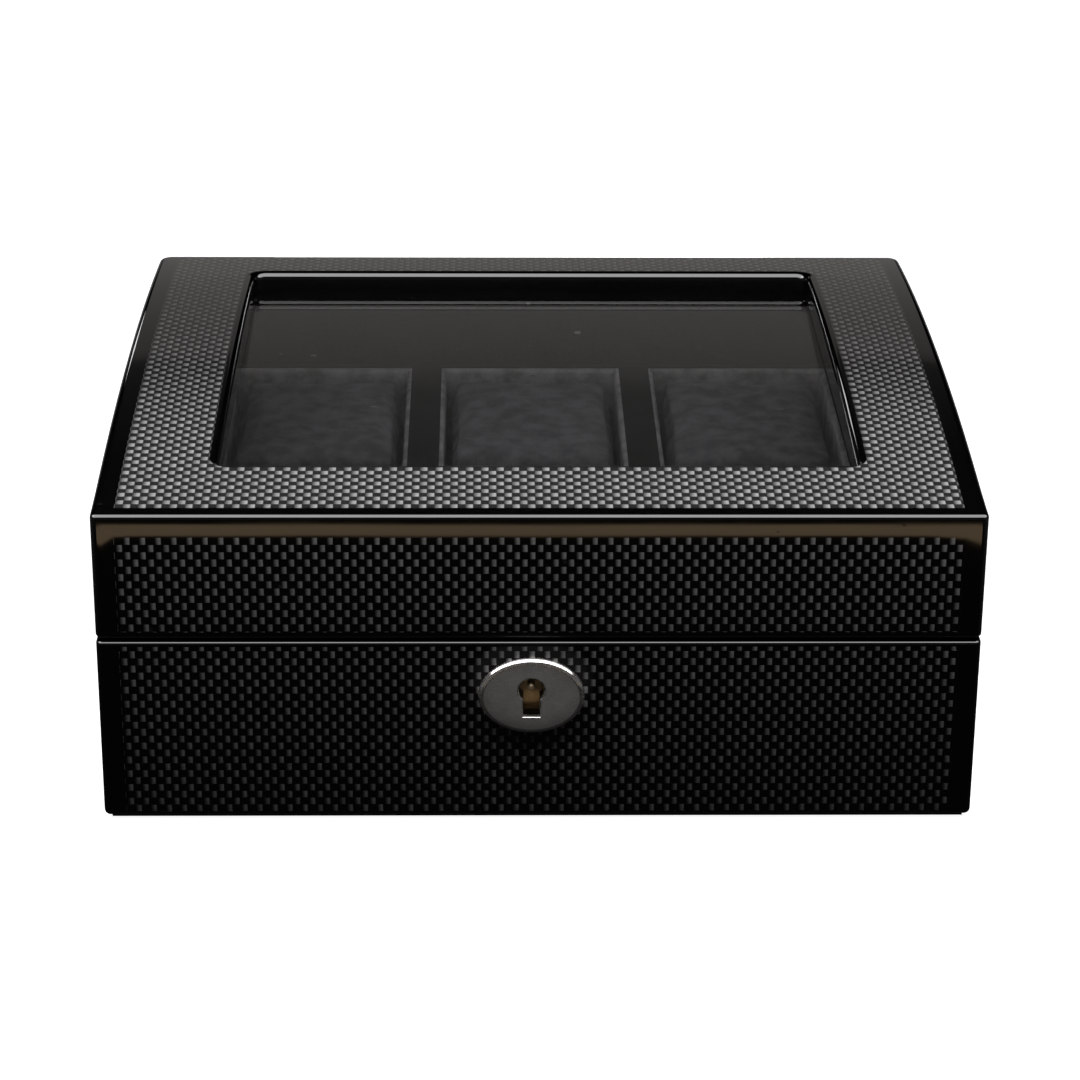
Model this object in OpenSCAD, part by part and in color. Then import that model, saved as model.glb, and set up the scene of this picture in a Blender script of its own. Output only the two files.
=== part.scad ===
// Lockable watch box with an arched, glazed lid.
// Millimetres. X runs left to right, the front faces -Y, Z is up.
// The origin is the middle of the underside, on the surface that the box stands on.

/* [Case] */
// Outer width of the box, left to right
box_w = 230; // [190:1:300]
// Outer depth of the box, front to back
box_d = 206; // [170:1:280]
// Height of the base, from the table to its top edge
base_h = 52; // [48:0.5:64]
// Height of the lid's front and back walls
lid_h = 34.5; // [31:0.5:46]
// Rise of the lid's arch above its front and back edges
lid_rise = 5.5; // [2:0.5:10]
// Gap between base and lid when closed
seam_gap = 1; // [0.7:0.1:1.6]
// Thickness of the wall boards
wall_t = 11; // [10.5:0.5:12]
// Radius of the box's upright corners
corner_r = 4; // [1:0.5:5]
// Thickness of the bottom board
floor_t = 5; // [3:0.5:7]
// Depth of the rebate that holds the bottom board
floor_rebate = 4; // [2:0.5:5]
// Thickness of the felt under the box
felt_t = 1; // [0.6:0.1:2]
// Distance from the box's edge to the felt
felt_inset = 2; // [1:0.5:8]

/* [Carbon skins] */
// Thickness of the carbon skins
skin_t = 0.6; // [0.4:0.1:1]
// Lacquer border at the left and right of every skin
skin_side_border = 6; // [4.5:0.5:12]
// Lacquer border above and below the base's skins
skin_base_border = 1.4; // [1:0.1:4]
// Lacquer border below the lid's wall skins
skin_lid_low_border = 1.8; // [1:0.1:4]
// Lacquer border above the lid's wall skins
skin_lid_high_border = 6; // [3:0.5:8]
// Lacquer border at the front and back of the top skin
skin_top_border = 4.3; // [3:0.1:10]

/* [Window] */
// Distance from the lid's left and right faces to the window's side walls
window_side = 31; // [27:0.5:40]
// Distance from the lid's front face to the window's front wall
window_front = 27; // [23:0.5:40]
// Distance from the lid's back face to the window's rear wall
window_back = 22.5; // [21:0.5:40]
// Radius of the window's corners
window_r = 3; // [1:0.5:8]
// Width of the rounded lacquer lip around the window
window_lip = 2; // [1:0.5:4]
// Thickness of the top panel at the lid's front and back edges
panel_edge_t = 3.5; // [2.5:0.5:6]
// Thickness of the glass
glass_t = 3; // [2:0.5:4]
// How far the glass reaches under the panel, all round
glass_lap = 7; // [4:0.5:7]
// Thickness of the retainer below the glass
retainer_t = 5; // [3:0.5:6]
// How far the retainer stays back from the window, all round
retainer_setback = 3; // [2:0.5:3]
// Clearance between the glass's edge and the retainer
glass_clear = 0.2; // [0.1:0.1:0.5]
// Thickness of the velvet lining
lining_t = 1.5; // [0.8:0.1:2]

/* [Tray] */
// Thickness of the tray's left and right rails
side_rail_t = 14; // [6:0.5:20]
// Thickness of the tray's front and back rails
end_rail_t = 9; // [6:0.5:16]
// Thickness of the dividers between wells
divider_t = 12; // [6:0.5:16]
// Thickness of the tray's floor
tray_floor_t = 2.5; // [1.5:0.5:4]
// Height of the tray's rim above the base's top edge
lip_h = 3; // [1.5:0.5:5]
// Clearance between the tray's rim and the lid's lining
lip_clear = 1; // [0.6:0.1:1.5]
// Gap between a cushion and the well's left and right walls
cushion_side_gap = 2; // [1:0.25:4]
// Gap for the strap between a cushion and the well's front and rear walls
cushion_strap_gap = 5.5; // [5:0.5:12]
// Height of a cushion
cushion_h = 46; // [30:0.5:47]
// Radius of a cushion's upright corners
cushion_r = 5; // [2:0.5:10]
// Clearance between a cushion and the tray's floor
cushion_seat = 0.3; // [0.2:0.1:0.5]

/* [Lock] */
// Place of the lock from the box's middle, towards the right
lock_x = -2; // [-10:0.5:10]
// Width of the oval escutcheon
escutcheon_w = 28; // [24:0.5:34]
// Height of the oval escutcheon
escutcheon_h = 21.6; // [18:0.2:24]
// Thickness of the escutcheon's flange
escutcheon_t = 1; // [0.6:0.1:1.6]
// Height of the escutcheon's raised face above its flange
escutcheon_raise = 0.6; // [0.2:0.1:1]
// Width of the flange around the raised face
escutcheon_flange = 1.3; // [0.6:0.1:2]
// Distance from the base's top edge to the escutcheon's centre
escutcheon_drop = 15.3; // [14:0.1:18]
// Height of the key post above the escutcheon's centre
post_above = 1.9; // [1:0.1:2.5]
// Radius of the keyhole's round part
keyhole_r = 3.4; // [2.8:0.1:3.8]
// Width of the keyhole's slot
keyhole_slot_w = 4.3; // [3:0.1:4.6]
// Length of the keyhole's slot below the escutcheon's centre
keyhole_slot_l = 6.6; // [5:0.1:7]
// Radius of the key post
post_r = 1; // [0.7:0.1:1.3]
// Width of the lock case
case_w = 34; // [32:0.5:40]
// Height of the lock case below its top plate
case_h = 22.5; // [21:0.5:28]
// Depth of the lock case, front to back
case_d = 7.5; // [6.5:0.25:8.5]
// Wall thickness of the lock case
case_wall = 1; // [0.6:0.1:1.2]
// Thickness of the lock's top plate and of the link plate
plate_t = 1.5; // [1:0.1:2]
// How far the top plate reaches past the case at each end
plate_over = 6; // [6:0.5:10]
// Thickness of the bolt and its tongue
bolt_t = 2; // [1.2:0.1:2.4]
// Length of the bolt's bar
bolt_l = 16; // [15:0.5:18]
// Height of the bolt's bar
bolt_h = 5; // [4:0.1:5.5]
// Length of the bolt's tongue
tongue_l = 6; // [5:0.5:6.5]
// Height of the bolt's tongue
tongue_h = 2.5; // [1.5:0.1:3]
// Travel of the bolt from open to locked
bolt_travel = 4.5; // [3.5:0.1:5]
// Thickness of the staple's plate, along the bolt's travel
staple_t = 2; // [1.2:0.1:2]
// Clearance between the tongue and the staple's eye
eye_clear = 0.4; // [0.3:0.05:0.5]
// Width of the metal around the staple's eye
staple_rim = 0.9; // [0.7:0.05:1]
// Thickness of the detent spring
spring_t = 0.4; // [0.3:0.05:0.5]

/* [Hinges] */
// Width of a hinge
hinge_w = 34; // [28:0.5:44]
// Distance from the box's left and right faces to a hinge's middle
hinge_side = 47; // [34:1:60]
// How far the hinge axis lies behind the back face
hinge_out = 1.5; // [1:0.1:2.2]
// How far a leaf reaches into the back board
leaf_in = 9; // [7:0.5:9.5]
// Thickness of a leaf, from the hinge axis's plane
leaf_t = 2.4; // [2:0.1:2.8]
// Clearance between a leaf and the hinge axis's plane
leaf_gap = 0.2; // [0.15:0.05:0.3]
// Radius of the barrel's knuckles
knuckle_r = 2.4; // [2:0.1:2.8]
// Clearance around and between the knuckles
knuckle_clear = 0.2; // [0.15:0.05:0.3]
// Radius of the hinge pin
pin_r = 1; // [0.8:0.05:1.2]
// Radial clearance of every pin and screw in its hole
fit_clear = 0.05; // [0.02:0.01:0.09]
// Opening angle at which the leaves stop the lid
stop_angle = 95; // [90:1:100]
// Spare angle left between the leaves at the stop
stop_spare_angle = 1; // [0.5:0.5:3]
// Distance from a hinge's middle to its screws
hinge_screw_x = 11; // [7:0.5:12]

/* [Screws and bumpers] */
// Radius of the screws' shanks
screw_r = 1.1; // [0.8:0.05:1.3]
// Radius of the screws' heads
screw_head_r = 2; // [1.6:0.1:2.4]
// Height of the screws' heads
screw_head_h = 1.1; // [0.8:0.1:1.3]
// Length of the screws
screw_l = 9; // [7:0.5:12]
// Width of the slot in the screws' heads
screw_slot_w = 0.5; // [0.3:0.1:0.8]
// Radius of the bumpers
bumper_r = 3; // [2:0.25:4]
// Clearance between the bumpers and the closed lid
bumper_clear = 0.1; // [0.05:0.05:0.2]

/* [Hidden] */

// Facets of round holes, pins and corners, and of the wide arch
round_fn = 48;
arch_fn = 720;
// How far a cutting shape reaches past the faces it cuts
over = 1;

// Colours
lacquer = [0.03, 0.03, 0.035];
carbon = [0.16, 0.16, 0.17];
velvet = [0.13, 0.13, 0.14];
suede = [0.30, 0.29, 0.32];
felt = [0.08, 0.08, 0.09];
nickel = [0.72, 0.73, 0.75];
brass = [0.78, 0.62, 0.30];
steel = [0.55, 0.56, 0.58];
glazing = [0.80, 0.88, 0.90, 0.30];
rubber = [0.10, 0.10, 0.10];

// Case: inner size, heights and the arch, a cylinder about the X axis
inner_w = box_w - 2 * wall_t;
inner_d = box_d - 2 * wall_t;
front_y = -box_d / 2;
back_y = box_d / 2;
floor_top = felt_t + floor_t;
lid_bottom = base_h + seam_gap;
lid_edge_z = lid_bottom + lid_h;
crown_z = lid_edge_z + lid_rise;
arch_r = (pow(box_d / 2, 2) + pow(lid_rise, 2)) / (2 * lid_rise);
arch_z = crown_z - arch_r;
panel_z = lid_edge_z - panel_edge_t;

// Window, glass and retainer
window_w = box_w - 2 * window_side;
window_d = box_d - window_front - window_back;
window_y = front_y + window_front + window_d / 2;
glass_z = panel_z - glass_t;
retainer_z = glass_z - retainer_t;
retainer_open_w = window_w + 2 * (retainer_setback + window_lip);
retainer_open_d = window_d + 2 * retainer_setback;

// Tray
column_count = 3;
row_count = 2;
tray_z = floor_top + tray_floor_t;
rim_z = base_h + lip_h;
lip_inset = lining_t + lip_clear;
wells_w = inner_w - 2 * side_rail_t;
wells_d = inner_d - 2 * end_rail_t;
well_w = (wells_w - (column_count - 1) * divider_t) / column_count;
well_d = (wells_d - (row_count - 1) * divider_t) / row_count;
column_pitch = well_w + divider_t;
row_pitch = well_d + divider_t;
divider_h = rim_z - tray_z;

// Lock: every Y below is measured in the front board, every Z from the base's top edge
board_inner_y = front_y + wall_t;
case_front_y = board_inner_y - case_d;
escutcheon_z = base_h - escutcheon_drop;
post_z = escutcheon_z + post_above;
case_top_z = base_h - plate_t;
case_bottom_z = case_top_z - case_h;
cavity_d = case_d - 2 * case_wall;
bolt_y = case_front_y + case_wall + cavity_d / 2;
bolt_above_post = 3.4;
bolt_z = post_z + bolt_above_post;
bolt_end_gap = 3;
bolt_left = lock_x - case_w / 2 + case_wall + bolt_end_gap;
bolt_rest_gap = 0.8;
tongue_z = bolt_z + (bolt_h - tongue_h) / 2;
staple_x = bolt_left + bolt_l + tongue_l + bolt_rest_gap;
staple_w = bolt_t + 2 * (eye_clear + staple_rim);
staple_bottom_z = tongue_z - eye_clear - staple_rim;
slot_clear = (cavity_d - staple_w) / 2;
detent_tip_x = bolt_left + bolt_l / 2 + bolt_travel / 2;
detent_clear = 0.1;
detent_depth = 0.5;
plate_w = case_w + 2 * plate_over;
plate_screw_x = case_w / 2 + plate_over / 2;

// Hinges
hinge_x = box_w / 2 - hinge_side;
hinge_y = back_y + hinge_out;
hinge_z = base_h + seam_gap / 2;
leaf_front_y = back_y - leaf_in;
knuckle_l = (hinge_w - 2 * knuckle_clear) / 3;
knuckle_pitch = knuckle_l + knuckle_clear;
leaf_screw_y = back_y - leaf_in / 2;
stop_half = (stop_angle + stop_spare_angle) / 2;

// ---- Shared shapes ----

// An upright block with rounded corners, centred on the Z axis, its foot at z = 0
module rounded_block(w, d, h, r) {
    linear_extrude(h) {
        square([w - 2 * r, d], center = true);
        square([w, d - 2 * r], center = true);
        for (x = [-1, 1], y = [-1, 1])
            translate([x * (w / 2 - r), y * (d / 2 - r)]) circle(r, $fn = round_fn);
    }
}

// A block centred in X and Y, its foot at z = 0
module block(w, d, h) {
    translate([-w / 2, -d / 2, 0]) cube([w, d, h]);
}

// The solid under the lid's arch, lowered by drop
module under_arch(drop) {
    translate([0, 0, arch_z]) rotate([0, 90, 0])
        cylinder(r = arch_r - drop, h = box_w + 2 * over, center = true, $fn = arch_fn);
}

// A closed ring of wall between two heights
module wall_ring(z, h) {
    difference() {
        translate([0, 0, z]) rounded_block(box_w, box_d, h, corner_r);
        translate([0, 0, z - over]) block(inner_w, inner_d, h + 2 * over);
    }
}

// The front board of the ring, with 45 degree mitres
module front_board(z, h) {
    reach = wall_t + over;
    intersection() {
        wall_ring(z, h);
        translate([0, 0, z]) linear_extrude(h) polygon([
            [-box_w / 2 - over, front_y - over], [box_w / 2 + over, front_y - over],
            [box_w / 2 - reach, front_y + reach], [-box_w / 2 + reach, front_y + reach]
        ]);
    }
}

// The left board of the ring, with 45 degree mitres
module left_board(z, h) {
    reach = wall_t + over;
    intersection() {
        wall_ring(z, h);
        translate([0, 0, z]) linear_extrude(h) polygon([
            [-box_w / 2 - over, front_y - over], [-box_w / 2 + reach, front_y + reach],
            [-box_w / 2 + reach, back_y - reach], [-box_w / 2 - over, back_y + over]
        ]);
    }
}

// A screw pointing down from the middle of its head's top face, grown by grow for its hole
module screw(grow = 0) {
    tip_h = screw_r;
    difference() {
        rotate_extrude($fn = round_fn) polygon([
            [0, 0], [screw_head_r + grow, 0], [screw_r + grow, -screw_head_h],
            [screw_r + grow, -screw_l + tip_h], [0, -screw_l - grow]
        ]);
        if (grow == 0)
            translate([0, 0, -screw_head_h / 4])
                cube([2 * screw_head_r + over, screw_slot_w, screw_head_h / 2], center = true);
    }
}

// ---- Base carcass ----

module bottom_board_space() {
    translate([0, 0, felt_t])
        block(inner_w + 2 * floor_rebate, inner_d + 2 * floor_rebate, floor_t);
}

module base_long_skin(out = 0) {
    z = felt_t + skin_base_border;
    translate([-box_w / 2 + skin_side_border, front_y - out, z])
        cube([box_w - 2 * skin_side_border, skin_t + out, base_h - skin_base_border - z]);
}

module base_side_skin(out = 0) {
    z = felt_t + skin_base_border;
    translate([-box_w / 2 - out, front_y + skin_side_border, z])
        cube([skin_t + out, box_d - 2 * skin_side_border, base_h - skin_base_border - z]);
}

module base_front_board() {
    color(lacquer) difference() {
        front_board(felt_t, base_h - felt_t);
        bottom_board_space();
        base_long_skin(over);
        lock_mortise();
        keyhole(front_y - over, case_front_y + over);
        lock_screw_places() screw(fit_clear);
    }
}

module base_back_board() {
    color(lacquer) difference() {
        mirror([0, 1, 0]) front_board(felt_t, base_h - felt_t);
        bottom_board_space();
        mirror([0, 1, 0]) base_long_skin(over);
        for (side = [-1, 1]) leaf_mortise(side);
        base_leaf_screw_places() screw(fit_clear);
    }
}

module base_left_board() {
    color(lacquer) difference() {
        left_board(felt_t, base_h - felt_t);
        bottom_board_space();
        base_side_skin(over);
    }
}

module base_right_board() {
    mirror([1, 0, 0]) base_left_board();
}

module base_bottom_board() {
    color(lacquer) bottom_board_space();
}

module base_felt() {
    color(felt) block(box_w - 2 * felt_inset, box_d - 2 * felt_inset, felt_t);
}

module base_front_skin() {
    color(carbon) difference() {
        base_long_skin();
        keyhole(front_y - over, front_y + skin_t + over);
    }
}

module base_back_skin() {
    color(carbon) difference() {
        mirror([0, 1, 0]) base_long_skin();
        for (side = [-1, 1]) leaf_mortise(side);
    }
}

module base_left_skin() {
    color(carbon) base_side_skin();
}

module base_right_skin() {
    color(carbon) mirror([1, 0, 0]) base_side_skin();
}

// ---- Lock ----

// The keyhole's outline as a solid between two Y positions
module keyhole(y_from, y_to) {
    translate([lock_x, y_to, 0]) rotate([90, 0, 0]) linear_extrude(y_to - y_from) {
        translate([0, post_z]) circle(keyhole_r, $fn = round_fn);
        translate([-keyhole_slot_w / 2, escutcheon_z - keyhole_slot_l])
            square([keyhole_slot_w, post_z - escutcheon_z + keyhole_slot_l]);
    }
}

// Points of an ellipse
function oval(w, h, steps) = [for (i = [0 : steps - 1]) [w / 2 * cos(360 * i / steps), h / 2 * sin(360 * i / steps)]];

module oval_plate(w, h, y_from, y_to) {
    oval_steps = 72;
    translate([lock_x, y_to, escutcheon_z]) rotate([90, 0, 0])
        linear_extrude(y_to - y_from) polygon(oval(w, h, oval_steps));
}

module lock_mortise() {
    translate([lock_x - case_w / 2, case_front_y, case_bottom_z]) cube([case_w, case_d + over, case_h]);
    translate([lock_x - plate_w / 2, case_front_y, case_top_z]) cube([plate_w, case_d + over, plate_t + over]);
}

// Places of the two screws in the lock's top plate, heads flush with the base's top edge
module lock_screw_places() {
    for (side = [-1, 1])
        translate([lock_x + side * plate_screw_x, case_front_y + case_d / 2, base_h]) children();
}

module escutcheon() {
    color(nickel) difference() {
        union() {
            oval_plate(escutcheon_w, escutcheon_h, front_y - escutcheon_t, front_y);
            oval_plate(
                escutcheon_w - 2 * escutcheon_flange, escutcheon_h - 2 * escutcheon_flange,
                front_y - escutcheon_t - escutcheon_raise, front_y - escutcheon_t
            );
        }
        keyhole(front_y - escutcheon_t - escutcheon_raise - over, front_y + over);
    }
}

module lock_case() {
    color(brass) difference() {
        union() {
            translate([lock_x - case_w / 2, case_front_y, case_bottom_z]) cube([case_w, case_d, case_h]);
            translate([lock_x - plate_w / 2, case_front_y, case_top_z]) cube([plate_w, case_d, plate_t]);
        }
        translate([lock_x - case_w / 2 + case_wall, case_front_y + case_wall, case_bottom_z + case_wall])
            cube([case_w - 2 * case_wall, case_d, case_h - case_wall]);
        keyhole(case_front_y - over, case_front_y + case_wall + over);
        translate([staple_x - slot_clear, bolt_y - staple_w / 2 - slot_clear, case_top_z - over])
            cube([staple_t + 2 * slot_clear, staple_w + 2 * slot_clear, plate_t + 2 * over]);
        lock_screw_places() screw(fit_clear);
    }
}

module lock_cover() {
    color(brass) difference() {
        translate([lock_x - case_w / 2 + case_wall, board_inner_y - case_wall, case_bottom_z + case_wall])
            cube([case_w - 2 * case_wall, case_wall, case_h - case_wall]);
        translate([lock_x, board_inner_y + over, post_z]) rotate([90, 0, 0])
            cylinder(r = post_r + fit_clear, h = case_wall + 2 * over, $fn = round_fn);
    }
}

// The post that the hollow key turns on, riveted through the cover
module key_post() {
    tip_h = 0.5;
    post_l = wall_t - tip_h;
    color(brass) translate([lock_x, board_inner_y, post_z]) rotate([90, 0, 0])
        rotate_extrude($fn = round_fn) polygon([
            [0, 0], [post_r, 0], [post_r, post_l - tip_h], [post_r / 2, post_l], [0, post_l]
        ]);
}

// The bolt slides to the right; its tongue then lies in the staple's eye
module lock_bolt() {
    talon_w = 5;
    talon_h = 2;
    notch_side = sqrt(2) * detent_depth;
    color(steel) difference() {
        union() {
            translate([bolt_left, bolt_y - bolt_t / 2, bolt_z]) cube([bolt_l, bolt_t, bolt_h]);
            translate([bolt_left + bolt_l, bolt_y - bolt_t / 2, tongue_z]) cube([tongue_l, bolt_t, tongue_h]);
        }
        translate([lock_x - talon_w / 2, bolt_y - bolt_t / 2 - over, bolt_z - over])
            cube([talon_w, bolt_t + 2 * over, talon_h + over]);
        for (x = [detent_tip_x, detent_tip_x - bolt_travel])
            translate([x, bolt_y, bolt_z + bolt_h]) rotate([0, 45, 0])
                cube([notch_side, bolt_t + 2 * over, notch_side], center = true);
    }
}

// A bent strip held under the case's top plate; its tip rides just above the bolt's notches
module bolt_spring() {
    foot_l = 4;
    foot_x = bolt_left - spring_t;
    tail_l = 3;
    tail_rise = 1.4;
    tip_z = bolt_z + bolt_h + detent_clear;
    end_x = detent_tip_x + tail_l;
    end_z = tip_z + tail_rise;
    color(steel) translate([0, bolt_y + bolt_t / 2, 0]) rotate([90, 0, 0]) linear_extrude(bolt_t) polygon([
        [foot_x, case_top_z], [foot_x, case_top_z - spring_t], [foot_x + foot_l, case_top_z - spring_t],
        [detent_tip_x, tip_z], [end_x, end_z], [end_x, end_z + spring_t],
        [detent_tip_x, tip_z + spring_t], [foot_x + foot_l, case_top_z]
    ]);
}

module lock_screws() {
    color(steel) lock_screw_places() screw();
}

module link_plate_space(out = 0) {
    translate([lock_x - plate_w / 2, case_front_y, lid_bottom - out]) cube([plate_w, case_d, plate_t + out]);
}

// Places of the two link plate screws, turned to point up into the lid's front board
module link_screw_places() {
    for (side = [-1, 1])
        translate([lock_x + side * plate_screw_x, case_front_y + case_d / 2, lid_bottom])
            mirror([0, 0, 1]) children();
}

module link_plate() {
    eye_w = bolt_t + 2 * eye_clear;
    color(brass) difference() {
        union() {
            link_plate_space();
            translate([staple_x, bolt_y - staple_w / 2, staple_bottom_z])
                cube([staple_t, staple_w, lid_bottom + plate_t - staple_bottom_z]);
        }
        translate([staple_x - over, bolt_y - eye_w / 2, tongue_z - eye_clear])
            cube([staple_t + 2 * over, eye_w, tongue_h + 2 * eye_clear]);
        link_screw_places() screw(fit_clear);
    }
}

module link_plate_screws() {
    color(steel) link_screw_places() screw();
}

// ---- Hinges ----

// The pocket of a leaf in the base's back board, open to the back and the top
module leaf_mortise(side) {
    translate([side * hinge_x - hinge_w / 2, leaf_front_y, hinge_z - leaf_t])
        cube([hinge_w, leaf_in + over, leaf_t]);
}

// A knuckle cylinder around the hinge axis; place 0 is the leftmost
module knuckle(side, place, r, extra = 0) {
    translate([side * hinge_x - hinge_w / 2 + place * knuckle_pitch - extra, hinge_y, hinge_z])
        rotate([0, 90, 0]) cylinder(r = r, h = knuckle_l + 2 * extra, $fn = round_fn);
}

// A base leaf lies below the axis's plane and carries the knuckles in own; the rest clear the other leaf's.
// Its rear edge is bevelled through the axis, so that two leaves stop each other at the stop angle.
module hinge_leaf(side, own, others) {
    bore_over = hinge_w + 2 * over;
    difference() {
        union() {
            difference() {
                translate([side * hinge_x - hinge_w / 2, hinge_y, hinge_z])
                    rotate([90, 0, 90]) linear_extrude(hinge_w) polygon([
                        [leaf_front_y - hinge_y, -leaf_gap], [leaf_front_y - hinge_y, -leaf_t],
                        [leaf_t / tan(stop_half), -leaf_t], [leaf_gap / tan(stop_half), -leaf_gap]
                    ]);
                for (place = others) knuckle(side, place, knuckle_r + knuckle_clear, knuckle_clear);
            }
            for (place = own) knuckle(side, place, knuckle_r);
        }
        translate([side * hinge_x - bore_over / 2, hinge_y, hinge_z]) rotate([0, 90, 0])
            cylinder(r = pin_r + fit_clear, h = bore_over, $fn = round_fn);
    }
}

// Turns a base leaf into a lid leaf, about the axis's plane
module above_axis() {
    translate([0, 0, 2 * hinge_z]) mirror([0, 0, 1]) children();
}

module one_leaf_screw_places(side) {
    for (x = [-1, 1])
        translate([side * hinge_x + x * hinge_screw_x, leaf_screw_y, hinge_z - leaf_gap]) children();
}

module base_leaf_screw_places() {
    for (side = [-1, 1]) one_leaf_screw_places(side) children();
}

module base_leaf(side) {
    color(nickel) difference() {
        hinge_leaf(side, [0, 2], [1]);
        one_leaf_screw_places(side) screw(fit_clear);
    }
}

module lid_leaf(side) {
    color(nickel) above_axis() difference() {
        hinge_leaf(side, [1], [0, 2]);
        one_leaf_screw_places(side) screw(fit_clear);
    }
}

module hinge_pin(side) {
    end_h = 0.4;
    color(steel) translate([side * hinge_x - hinge_w / 2, hinge_y, hinge_z]) rotate([0, 90, 0])
        rotate_extrude($fn = round_fn) polygon([
            [0, 0], [pin_r - end_h, 0], [pin_r, end_h], [pin_r, hinge_w - end_h],
            [pin_r - end_h, hinge_w], [0, hinge_w]
        ]);
}

module base_leaf_left() { base_leaf(-1); }
module base_leaf_right() { base_leaf(1); }
module lid_leaf_left() { lid_leaf(-1); }
module lid_leaf_right() { lid_leaf(1); }
module hinge_pin_left() { hinge_pin(-1); }
module hinge_pin_right() { hinge_pin(1); }

module base_leaf_screws() {
    color(steel) base_leaf_screw_places() screw();
}

module lid_leaf_screws() {
    color(steel) above_axis() base_leaf_screw_places() screw();
}

// ---- Tray ----

module tray_floor() {
    color(velvet) translate([0, 0, floor_top]) block(inner_w, inner_d, tray_floor_t);
}

// The front rail fills the space between the wells and the front board; its top stands proud, set in all round
module tray_front_rail() {
    color(velvet) {
        translate([-inner_w / 2, -inner_d / 2, tray_z]) cube([inner_w, end_rail_t, base_h - tray_z]);
        translate([-inner_w / 2 + lip_inset, -inner_d / 2 + lip_inset, base_h])
            cube([inner_w - 2 * lip_inset, end_rail_t - lip_inset, lip_h]);
    }
}

module tray_back_rail() {
    mirror([0, 1, 0]) tray_front_rail();
}

module tray_left_rail() {
    color(velvet) {
        translate([-inner_w / 2, -wells_d / 2, tray_z]) cube([side_rail_t, wells_d, base_h - tray_z]);
        translate([-inner_w / 2 + lip_inset, -wells_d / 2, base_h])
            cube([side_rail_t - lip_inset, wells_d, lip_h]);
    }
}

module tray_right_rail() {
    mirror([1, 0, 0]) tray_left_rail();
}

// The long divider has notches from above, in which the cross dividers sit
module long_divider() {
    color(velvet) difference() {
        translate([0, 0, tray_z]) block(wells_w, divider_t, divider_h);
        for (side = [-1, 1])
            translate([side * column_pitch / 2, 0, tray_z + divider_h / 2])
                block(divider_t, divider_t + 2 * over, divider_h);
    }
}

module cross_divider(side) {
    color(velvet) translate([side * column_pitch / 2, 0, tray_z]) difference() {
        block(divider_t, wells_d, divider_h);
        translate([0, 0, -over]) block(divider_t + 2 * over, divider_t, divider_h / 2 + over);
    }
}

module cross_divider_left() { cross_divider(-1); }
module cross_divider_right() { cross_divider(1); }

// A cushion stands in the well at the given column (-1, 0, 1) and row (-1 front, 1 back)
module cushion(column, row) {
    color(suede) translate([column * column_pitch, row * row_pitch / 2, tray_z + cushion_seat])
        rounded_block(well_w - 2 * cushion_side_gap, well_d - 2 * cushion_strap_gap, cushion_h, cushion_r);
}

module cushion_front_left() { cushion(-1, -1); }
module cushion_front_middle() { cushion(0, -1); }
module cushion_front_right() { cushion(1, -1); }
module cushion_back_left() { cushion(-1, 1); }
module cushion_back_middle() { cushion(0, 1); }
module cushion_back_right() { cushion(1, 1); }

module bumpers() {
    color(rubber) for (x = [-1, 1], y = [-1, 1])
        translate([x * (box_w - wall_t) / 2, y * (box_d - wall_t) / 2, base_h])
            cylinder(r = bumper_r, h = seam_gap - bumper_clear, $fn = round_fn);
}

// ---- Lid ----

module lid_long_skin(out = 0) {
    z = lid_bottom + skin_lid_low_border;
    translate([-box_w / 2 + skin_side_border, front_y - out, z])
        cube([box_w - 2 * skin_side_border, skin_t + out, lid_edge_z - skin_lid_high_border - z]);
}

module lid_side_skin(out = 0) {
    z = lid_bottom + skin_lid_low_border;
    intersection() {
        translate([-box_w / 2 - out, front_y + skin_side_border, z])
            cube([skin_t + out, box_d - 2 * skin_side_border, crown_z - z]);
        under_arch(skin_lid_high_border);
    }
}

// The top skin follows the arch and leaves the window and its lip free
module top_skin(out = 0) {
    difference() {
        intersection() {
            translate([0, 0, panel_z])
                block(box_w - 2 * skin_side_border, box_d - 2 * skin_top_border, crown_z - panel_z + 2 * over);
            under_arch(-out);
        }
        under_arch(skin_t);
        window_hole(window_lip);
    }
}

// The window, grown by grow all round
module window_hole(grow = 0) {
    translate([0, window_y, panel_z - over])
        rounded_block(
            window_w + 2 * grow, window_d + 2 * grow, crown_z - panel_z + 3 * over, window_r + grow
        );
}

module lid_front_board() {
    color(lacquer) difference() {
        front_board(lid_bottom, panel_z - lid_bottom);
        lid_long_skin(over);
        link_plate_space(over);
        link_screw_places() screw(fit_clear);
    }
}

module lid_back_board() {
    color(lacquer) difference() {
        mirror([0, 1, 0]) front_board(lid_bottom, panel_z - lid_bottom);
        mirror([0, 1, 0]) lid_long_skin(over);
        above_axis() for (side = [-1, 1]) leaf_mortise(side);
        above_axis() base_leaf_screw_places() screw(fit_clear);
    }
}

module lid_left_board() {
    color(lacquer) difference() {
        left_board(lid_bottom, panel_z - lid_bottom);
        lid_side_skin(over);
    }
}

module lid_right_board() {
    mirror([1, 0, 0]) lid_left_board();
}

module lid_top_panel() {
    color(lacquer) difference() {
        intersection() {
            translate([0, 0, panel_z]) rounded_block(box_w, box_d, crown_z - panel_z + over, corner_r);
            under_arch(0);
        }
        window_hole();
        top_skin(over);
        lid_long_skin(over);
        mirror([0, 1, 0]) lid_long_skin(over);
        lid_side_skin(over);
        mirror([1, 0, 0]) lid_side_skin(over);
    }
}

module lid_front_skin() {
    color(carbon) lid_long_skin();
}

module lid_back_skin() {
    color(carbon) difference() {
        mirror([0, 1, 0]) lid_long_skin();
        above_axis() for (side = [-1, 1]) leaf_mortise(side);
    }
}

module lid_left_skin() {
    color(carbon) lid_side_skin();
}

module lid_right_skin() {
    color(carbon) mirror([1, 0, 0]) lid_side_skin();
}

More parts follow.
